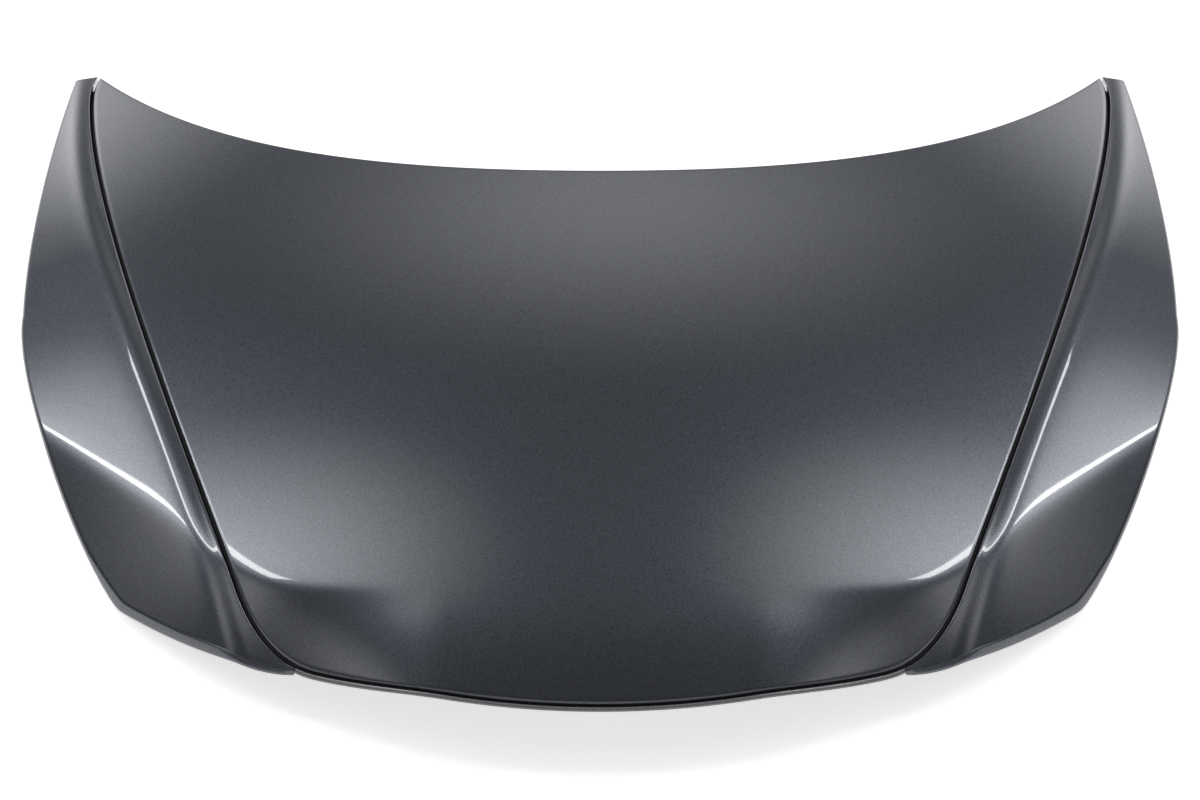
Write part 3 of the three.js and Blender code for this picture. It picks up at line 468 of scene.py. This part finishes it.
share = np.linspace(0.0, 1.0, side_steps + 1)[None, :]
inside_marks = inner_start[:, None] + (line_width - inner_start - outer_start)[:, None] * share
inside_share = (inside_marks / line_width[:, None])[..., None]
side_raw = line_inner[:, None] + (line_outer - line_inner)[:, None] * inside_share

# At each short end the rim's roll starts at its own distance, so the net is drawn even over a few steps.
side_net = side_raw.copy()
evened = 4
for end, step, size in ((0, 1, front_end[0]), (side_lines, -1, rear_end[0])):
    run = side_raw[end + evened * step] - side_raw[end]
    start = side_raw[end] + run * (size / np.linalg.norm(run, axis=1))[:, None]
    for k in range(evened):
        side_net[end + k * step] = start + (side_raw[end + evened * step] - start) * (k / evened)
inner_sizes, outer_sizes = inner_sizes.T, outer_sizes.T
middle = side_steps - 1
side_edges = np.concatenate([
    line_inner[:1], side_raw[0, 1:-1], line_outer, side_raw[-1, -2:0:-1], line_inner[:0:-1],
])
side_sizes = np.concatenate([
    [0.5 * (front_end + inner_sizes[0])], np.tile(front_end, (middle, 1)),
    [0.5 * (front_end + outer_sizes[0])], outer_sizes[1:-1],
    [0.5 * (rear_end + outer_sizes[-1])], np.tile(rear_end, (middle, 1)),
    [0.5 * (rear_end + inner_sizes[-1])], inner_sizes[-2:0:-1],
])
side_section = rim_section(*side_sizes.T)
for side, hand in (("right", 1.0), ("left", -1.0)):
    turned_net = side_net.transpose(1, 0, 2)
    skin = skin_with_rim(side + "_side_paint", turned_net, side_edges, *side_section, hand=hand)
    skin.data.materials.append(paint)
    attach(skin, "root")
    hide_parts(side + "_side_skin")


# Front strip: a slim formed lip in front of the centre section, on a foot that leans back to the carrier.
# It is rolled from thin steel and finished in a satin grey that is a little lighter than the paint.
satin_grey, satin_shader = new_material("satin_grey_strip", (0.16, 0.162, 0.17), 0.35, 0.6)
satin_mottle = object_noise(satin_grey, 300.0)
mottled_colour(satin_grey, satin_shader, satin_mottle, (0.14, 0.142, 0.15), (0.19, 0.192, 0.2))

# Its section is given as distances out from the joint's middle and down from the nose.
strip_profile = [
    (-6.93, 22.1), (2.07, 11.1), (4.6, 5.8), (5.2, 5.1), (7.0, 4.5), (7.4, 4.0), (7.4, 1.8), (7.1, 1.1),
    (6.4, 0.7), (3.4, 0.7), (2.7, 1.1), (2.4, 1.8), (2.4, 5.4), (0.83, 10.09), (-8.17, 21.09),
]
strip_stations = 120
strip_marks = np.linspace(0.0, shallow_end, strip_stations)


def guide_object(name, points, edges, faces):
    """A shape that only steers another piece, and is deleted once that piece is made."""
    mesh = bpy.data.meshes.new(name)
    mesh.from_pydata([tuple(map(float, point)) for point in points], edges, faces)
    guide = bpy.data.objects.new(name, mesh)
    bpy.context.scene.collection.objects.link(guide)
    return guide


strip_line = joint_stations(strip_marks)[0] + joint.out(strip_marks) * half_gap
strip_line = mirrored_row(strip_line) + plan_shift[:2]
strip_points = np.column_stack([strip_line, np.zeros(len(strip_line))]) * metres
strip_edges = [(k, k + 1) for k in range(len(strip_points) - 1)]
strip_path = guide_object("strip_path", strip_points, strip_edges, [])
section_points = np.array([(out, depth, 0.0) for out, depth in reversed(strip_profile)]) * metres
section_edges = [(k, (k + 1) % len(strip_profile)) for k in range(len(strip_profile))]
strip_section = guide_object("strip_section", section_points, section_edges, [])
nose_spacing = 2.0
nose_across = np.arange(-450.0, 451.0, nose_spacing)
nose_along = np.arange(-640.0, -440.0, nose_spacing)
across, along = np.meshgrid(nose_across, nose_along, indexing="ij")
nose_points = np.stack([across, along, base_height(across, along)], axis=-1).reshape(-1, 3) + plan_shift
nose_faces = net_faces(np.arange(across.size).reshape(across.shape))
nose_surface = guide_object("nose_surface", nose_points * metres, [], nose_faces)

# The strip is its section drawn along the joint line and then let down on the nose, point by point.
sweep = bpy.data.node_groups.new("strip_sweep", "GeometryNodeTree")
sweep.interface.new_socket("Path", in_out="INPUT", socket_type="NodeSocketGeometry")
section_socket = sweep.interface.new_socket("Section", in_out="INPUT", socket_type="NodeSocketObject")
surface_socket = sweep.interface.new_socket("Surface below", in_out="INPUT", socket_type="NodeSocketObject")
finish_socket = sweep.interface.new_socket("Finish", in_out="INPUT", socket_type="NodeSocketMaterial")
sweep.interface.new_socket("Strip", in_out="OUTPUT", socket_type="NodeSocketGeometry")


def sweep_step(kind, **wires):
    """Adds a node and fills its sockets; an underscore stands for a space in a socket's name."""
    step = sweep.nodes.new(kind)
    for socket, value in wires.items():
        socket = step.inputs[socket.replace("_", " ")]
        if isinstance(value, bpy.types.NodeSocket):
            sweep.links.new(value, socket)
        else:
            socket.default_value = value
    return step


given = sweep.nodes.new("NodeGroupInput").outputs
where = sweep.nodes.new("GeometryNodeInputPosition").outputs["Position"]
section = sweep_step("GeometryNodeObjectInfo", Object=given["Section"])
surface = sweep_step("GeometryNodeObjectInfo", Object=given["Surface below"])
path_curve = sweep_step("GeometryNodeMeshToCurve", Mesh=given["Path"])
upright = sweep_step("GeometryNodeSetCurveNormal", Curve=path_curve.outputs["Curve"])
upright.mode = "Z_UP"
section_curve = sweep_step("GeometryNodeMeshToCurve", Mesh=section.outputs["Geometry"])
drawn = sweep_step("GeometryNodeCurveToMesh", Curve=upright.outputs["Curve"], Fill_Caps=True)
sweep.links.new(section_curve.outputs["Curve"], drawn.inputs["Profile Curve"])
here = sweep_step("ShaderNodeSeparateXYZ", Vector=where)
above = sweep_step("ShaderNodeCombineXYZ", X=here.outputs["X"], Y=here.outputs["Y"], Z=1.0)
fall = sweep_step("GeometryNodeRaycast", Ray_Direction=(0.0, 0.0, -1.0), Ray_Length=2.0)
sweep.links.new(surface.outputs["Geometry"], fall.inputs["Target Geometry"])
sweep.links.new(above.outputs["Vector"], fall.inputs["Source Position"])
nose_level = sweep_step("ShaderNodeSeparateXYZ", Vector=fall.outputs["Hit Position"])
rise = sweep_step("ShaderNodeCombineXYZ", Z=nose_level.outputs["Z"])
laid = sweep_step("GeometryNodeSetPosition", Geometry=drawn.outputs["Mesh"], Offset=rise.outputs["Vector"])
real = sweep_step("GeometryNodeRealizeInstances", Geometry=laid.outputs["Geometry"])
finished = sweep_step("GeometryNodeSetMaterial", Geometry=real.outputs["Geometry"], Material=given["Finish"])
sweep.links.new(finished.outputs["Geometry"], sweep.nodes.new("NodeGroupOutput").inputs["Strip"])

sweep_modifier = strip_path.modifiers.new("strip_sweep", "NODES")
sweep_modifier.node_group = sweep
sweep_modifier[section_socket.identifier] = strip_section
sweep_modifier[surface_socket.identifier] = nose_surface
sweep_modifier[finish_socket.identifier] = satin_grey
finished_path = strip_path.evaluated_get(bpy.context.evaluated_depsgraph_get())
strip_mesh = bpy.data.meshes.new_from_object(finished_path)
for guide in (strip_path, strip_section, nose_surface):
    bpy.data.objects.remove(guide)
strip_mesh.shade_smooth()
front_strip = bpy.data.objects.new("front_strip_satin", strip_mesh)
bpy.context.scene.collection.objects.link(front_strip)
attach(front_strip, "root")
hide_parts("front_strip")


# Joint seal: an extruded black rubber strip that lies on the carrier and closes the joint from below.
# Its top is eased at both edges, its foot gets deeper beside the side sections, and its surface is dull.
rubber, rubber_shader = new_material("black_rubber", (0.012, 0.012, 0.012), 0.85)
rubber_grain = object_noise(rubber, 500.0, 3.0)
mottled_colour(rubber, rubber_shader, rubber_grain, (0.009, 0.009, 0.009), (0.016, 0.016, 0.017))
bumped(rubber, rubber_shader, rubber_grain, 0.2, 0.0005)


def sweep_object(name, sections):
    """Sections run from left to right; each is (points, 3), and the last point joins the first."""
    count, size = sections.shape[:2]
    grid = np.arange(count * size).reshape(count, size)
    looped = np.hstack([grid, grid[:, :1]])
    ends = [grid[0].tolist(), grid[-1][::-1].tolist()]
    return mesh_object(name, sections.reshape(-1, 3), net_faces(looped, turned=True) + ends)


def both_ways(sections):
    return np.concatenate([sections[:0:-1] * np.array([-1.0, 1.0, 1.0]), sections])


seal_stop = 18.0
seal_top = 7.5
seal_stations = 400
seal_marks = np.linspace(0.0, joint.length - seal_stop, seal_stations)
seal_edge, seal_way, _ = joint_stations(seal_marks)
seal_out = joint.out(seal_marks)
seal_share = seat_share(seal_marks)
seal_foot = 9.4 + seat_depth * seal_share
seal_reach = (1.9 + seal_share)[:, None]

# The section is given as a distance in from the centre section's edge and a share of the way down.
# Outside that edge the distance is counted in reaches across the joint.
seal_profile = [
    (-1.0, 1.0), (-1.0, 0.3), (-0.5, 0.05), (2.0, 0.0), (6.0, 0.0), (8.4, 0.1), (9.0, 0.3), (9.0, 1.0),
]
seal_sections = []
for inside, low in seal_profile:
    place = seal_edge + (seal_way * inside if inside > 0 else -seal_out * inside * seal_reach)
    level = base_height(*place.T) - seal_top - low * (seal_foot - seal_top)
    seal_sections.append(np.column_stack([place, level]))
joint_seal = sweep_object("joint_seal_rubber", both_ways(np.stack(seal_sections, axis=1)))
joint_seal.data.materials.append(rubber)
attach(joint_seal, "root")
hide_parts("joint_seal")


# Inner panels and carrier: pressed and dipped in a thin satin coat, with a faint mottle where it has run.
# They keep their own shapes, so only the finish is added here.
dip_coat, dip_shader = new_material("satin_dip_coat", (0.05, 0.052, 0.058), 0.5, 0.2)
dip_mottle = object_noise(dip_coat, 18.0, 4.0)
mottled_colour(dip_coat, dip_shader, dip_mottle, (0.042, 0.044, 0.05), (0.06, 0.062, 0.068))
bumped(dip_coat, dip_shader, object_noise(dip_coat, 250.0), 0.1, 0.0006)


def finish_nodes(names, material):
    for name in names:
        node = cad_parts[name]
        node.data.materials.clear()
        node.data.materials.append(material)


finish_nodes(["centre_inner_frame", "left_side_inner", "right_side_inner", "carrier_frame"], dip_coat)


# Hardware: hinge plates, latch loop and its plate, bolts and screws in bright zinc plate.
# The rubber buffers under the carrier take the same rubber as the seal.
zinc, zinc_shader = new_material("zinc_plate", (0.55, 0.56, 0.58), 0.38, 1.0)
zinc_mottle = object_noise(zinc, 160.0, 3.0)
mottled_colour(zinc, zinc_shader, zinc_mottle, (0.5, 0.51, 0.53), (0.62, 0.62, 0.62))
bumped(zinc, zinc_shader, zinc_mottle, 0.08, 0.0004)
plated = ("bolt", "screw", "hinge_plate", "striker")
finish_nodes([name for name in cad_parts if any(word in name for word in plated)], zinc)
finish_nodes([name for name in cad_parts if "buffer" in name], rubber)


# Studio: a plain pale floor, a white wall behind that ends at half height, and soft lamps in the dark.
# The floor is lifted to white for the camera and in the paint, and keeps the shadow of the bonnet.
bpy.ops.mesh.primitive_plane_add(size=60.0, location=(0.0, 0.0, 0.0))
floor = bpy.context.object
floor.name = "floor"
floor_glow = 0.62
floor_material, floor_shader = new_material("pale_floor", (0.85, 0.85, 0.85), 0.9)
nodes, links = floor_material.node_tree.nodes, floor_material.node_tree.links
floor_shader.inputs["Emission Color"].default_value = (1.0, 1.0, 1.0, 1.0)
floor_path = nodes.new("ShaderNodeLightPath")
seen_or_mirrored = nodes.new("ShaderNodeMath")
seen_or_mirrored.operation = "MAXIMUM"
links.new(floor_path.outputs["Is Camera Ray"], seen_or_mirrored.inputs[0])
links.new(floor_path.outputs["Is Glossy Ray"], seen_or_mirrored.inputs[1])
floor_lift = nodes.new("ShaderNodeMath")
floor_lift.operation = "MULTIPLY"
floor_lift.inputs[1].default_value = floor_glow
links.new(seen_or_mirrored.outputs["Value"], floor_lift.inputs[0])
links.new(floor_lift.outputs["Value"], floor_shader.inputs["Emission Strength"])
floor.data.materials.append(floor_material)

world = bpy.data.worlds.new("surround")
bpy.context.scene.world = world
world.use_nodes = True
nodes, links = world.node_tree.nodes, world.node_tree.links
background = nodes["Background"]
background.inputs["Color"].default_value = (1.0, 1.0, 1.0, 1.0)
look = nodes.new("ShaderNodeTexCoord")
parts = nodes.new("ShaderNodeSeparateXYZ")
links.new(look.outputs["Generated"], parts.inputs["Vector"])


def calculated(operation, first, second):
    step = nodes.new("ShaderNodeMath")
    step.operation = operation
    for socket, value in zip(step.inputs, (first, second)):
        if isinstance(value, float):
            socket.default_value = value
        else:
            links.new(value, socket)
    return step.outputs["Value"]


def smooth_step(value, low, high, size):
    step = nodes.new("ShaderNodeMapRange")
    step.interpolation_type = "SMOOTHSTEP"
    links.new(value, step.inputs["Value"])
    step.inputs["From Min"].default_value = low
    step.inputs["From Max"].default_value = high
    step.inputs["To Max"].default_value = size
    return step.outputs["Result"]


def direction_to(azimuth, elevation):
    """Unit vector at an azimuth from straight behind the bonnet, positive to the right, in degrees."""
    az, el = math.radians(azimuth), math.radians(elevation)
    return np.array([math.sin(az) * math.cos(el), math.cos(az) * math.cos(el), math.sin(el)])


def soft_spot(azimuth, elevation, radius, brightness):
    """A round diffused lamp far off that fades to its edge; a brightness of one is white."""
    toward = nodes.new("ShaderNodeVectorMath")
    toward.operation = "DOT_PRODUCT"
    links.new(look.outputs["Generated"], toward.inputs[0])
    toward.inputs[1].default_value = direction_to(azimuth, elevation)
    angle = calculated("ARCCOSINE", toward.outputs["Value"], 0.0)
    return smooth_step(angle, math.radians(radius), 0.0, brightness)


# The wall falls away to both hands, so that every panel mirrors its top edge as an arch. It is brightest
# at its foot and before the two lamps that are turned on it.
wall_height = 0.95
wall_droop = 0.37
aside = calculated("MULTIPLY", calculated("ABSOLUTE", parts.outputs["X"], 0.0), wall_droop)
wall_top = calculated("SUBTRACT", calculated("MULTIPLY", parts.outputs["Y"], wall_height), aside)
wall_tone = smooth_step(parts.outputs["Z"], 0.5, 0.1, 1.0)
for hand in (-1.0, 1.0):
    wall_tone = calculated("ADD", wall_tone, soft_spot(27.0 * hand, 18.0, 17.0, 3.2))
below_top = calculated("SUBTRACT", wall_top, parts.outputs["Z"])
wall = calculated("MULTIPLY", smooth_step(below_top, -0.01, 0.01, 1.0), wall_tone)

# One soft lamp stands behind the bonnet and a wide faint one in front. On each hand a high one gives the glow
# in the front corner of the centre section, and the next two the glow on the side section above its crease.
# The last three are fainter: they light the paint below the crease, the nose and the front lip.
soft_lamps = [soft_spot(1.0, 37.4, 17.3, 1.6), soft_spot(180.0, 24.0, 56.0, 0.9)]
for hand in (-1.0, 1.0):
    soft_lamps.append(soft_spot(39.0 * hand, 62.0, 14.5, 4.0))
    soft_lamps.append(soft_spot(66.5 * hand, 39.0, 18.0, 4.2))
    soft_lamps.append(soft_spot(58.0 * hand, 30.0, 9.0, 3.0))
    soft_lamps.append(soft_spot(83.0 * hand, 31.0, 10.0, 1.6))
    soft_lamps.append(soft_spot(96.0 * hand, 57.0, 14.0, 1.6))
    soft_lamps.append(soft_spot(118.0 * hand, 22.0, 20.0, 1.8))
room_tone = 0.05
tone = calculated("ADD", wall, room_tone)
for soft_lamp in soft_lamps:
    tone = calculated("ADD", tone, soft_lamp)

# The camera sees plain white behind the bonnet, while the paint mirrors the wall and the lamps.
path_kind = nodes.new("ShaderNodeLightPath")
seen = path_kind.outputs["Is Camera Ray"]
seen_through = path_kind.outputs["Is Transmission Ray"]
straight_on = calculated("MAXIMUM", seen, seen_through)
level = nodes.new("ShaderNodeMix")
links.new(straight_on, level.inputs["Factor"])
links.new(tone, level.inputs["A"])
level.inputs["B"].default_value = 1.0
links.new(level.outputs["Result"], background.inputs["Strength"])

lamp_distance = 8.0


def long_lamp(name, aim, low_end, high_end, width, brightness):
    """A long narrow lamp between two directions from where it aims; a brightness of one is white."""
    ends = [Vector(direction_to(*end)) * lamp_distance for end in (low_end, high_end)]
    away = (ends[0] + ends[1]).normalized()
    length = (ends[1] - ends[0]).length
    across = (ends[1] - ends[0]).cross(away).normalized()
    data = bpy.data.lights.new(name, "AREA")
    data.shape = "RECTANGLE"
    data.size = width
    data.size_y = length
    data.energy = brightness * math.pi * width * length
    lamp = bpy.data.objects.new(name, data)
    lamp.location = Vector(aim) + (ends[0] + ends[1]) * 0.5
    lamp.rotation_euler = Matrix((across, away.cross(across), away)).transposed().to_euler()
    lamp.visible_camera = False
    bpy.context.scene.collection.objects.link(lamp)


# On each hand a tall narrow lamp draws the bright line on the ridge beside the joint and along the crease of
# the centre section, and a lower one draws the line along the crease of the side section.
for side, hand in (("left", -1.0), ("right", 1.0)):
    shoulder = (0.6 * hand, -0.2, 0.13)
    long_lamp(side + "_tall_lamp", shoulder, (40.0 * hand, 38.0), (52.0 * hand, 69.0), 0.55, 12.0)
    long_lamp(side + "_low_lamp", shoulder, (62.0 * hand, 25.0), (68.0 * hand, 47.0), 0.4, 14.0)
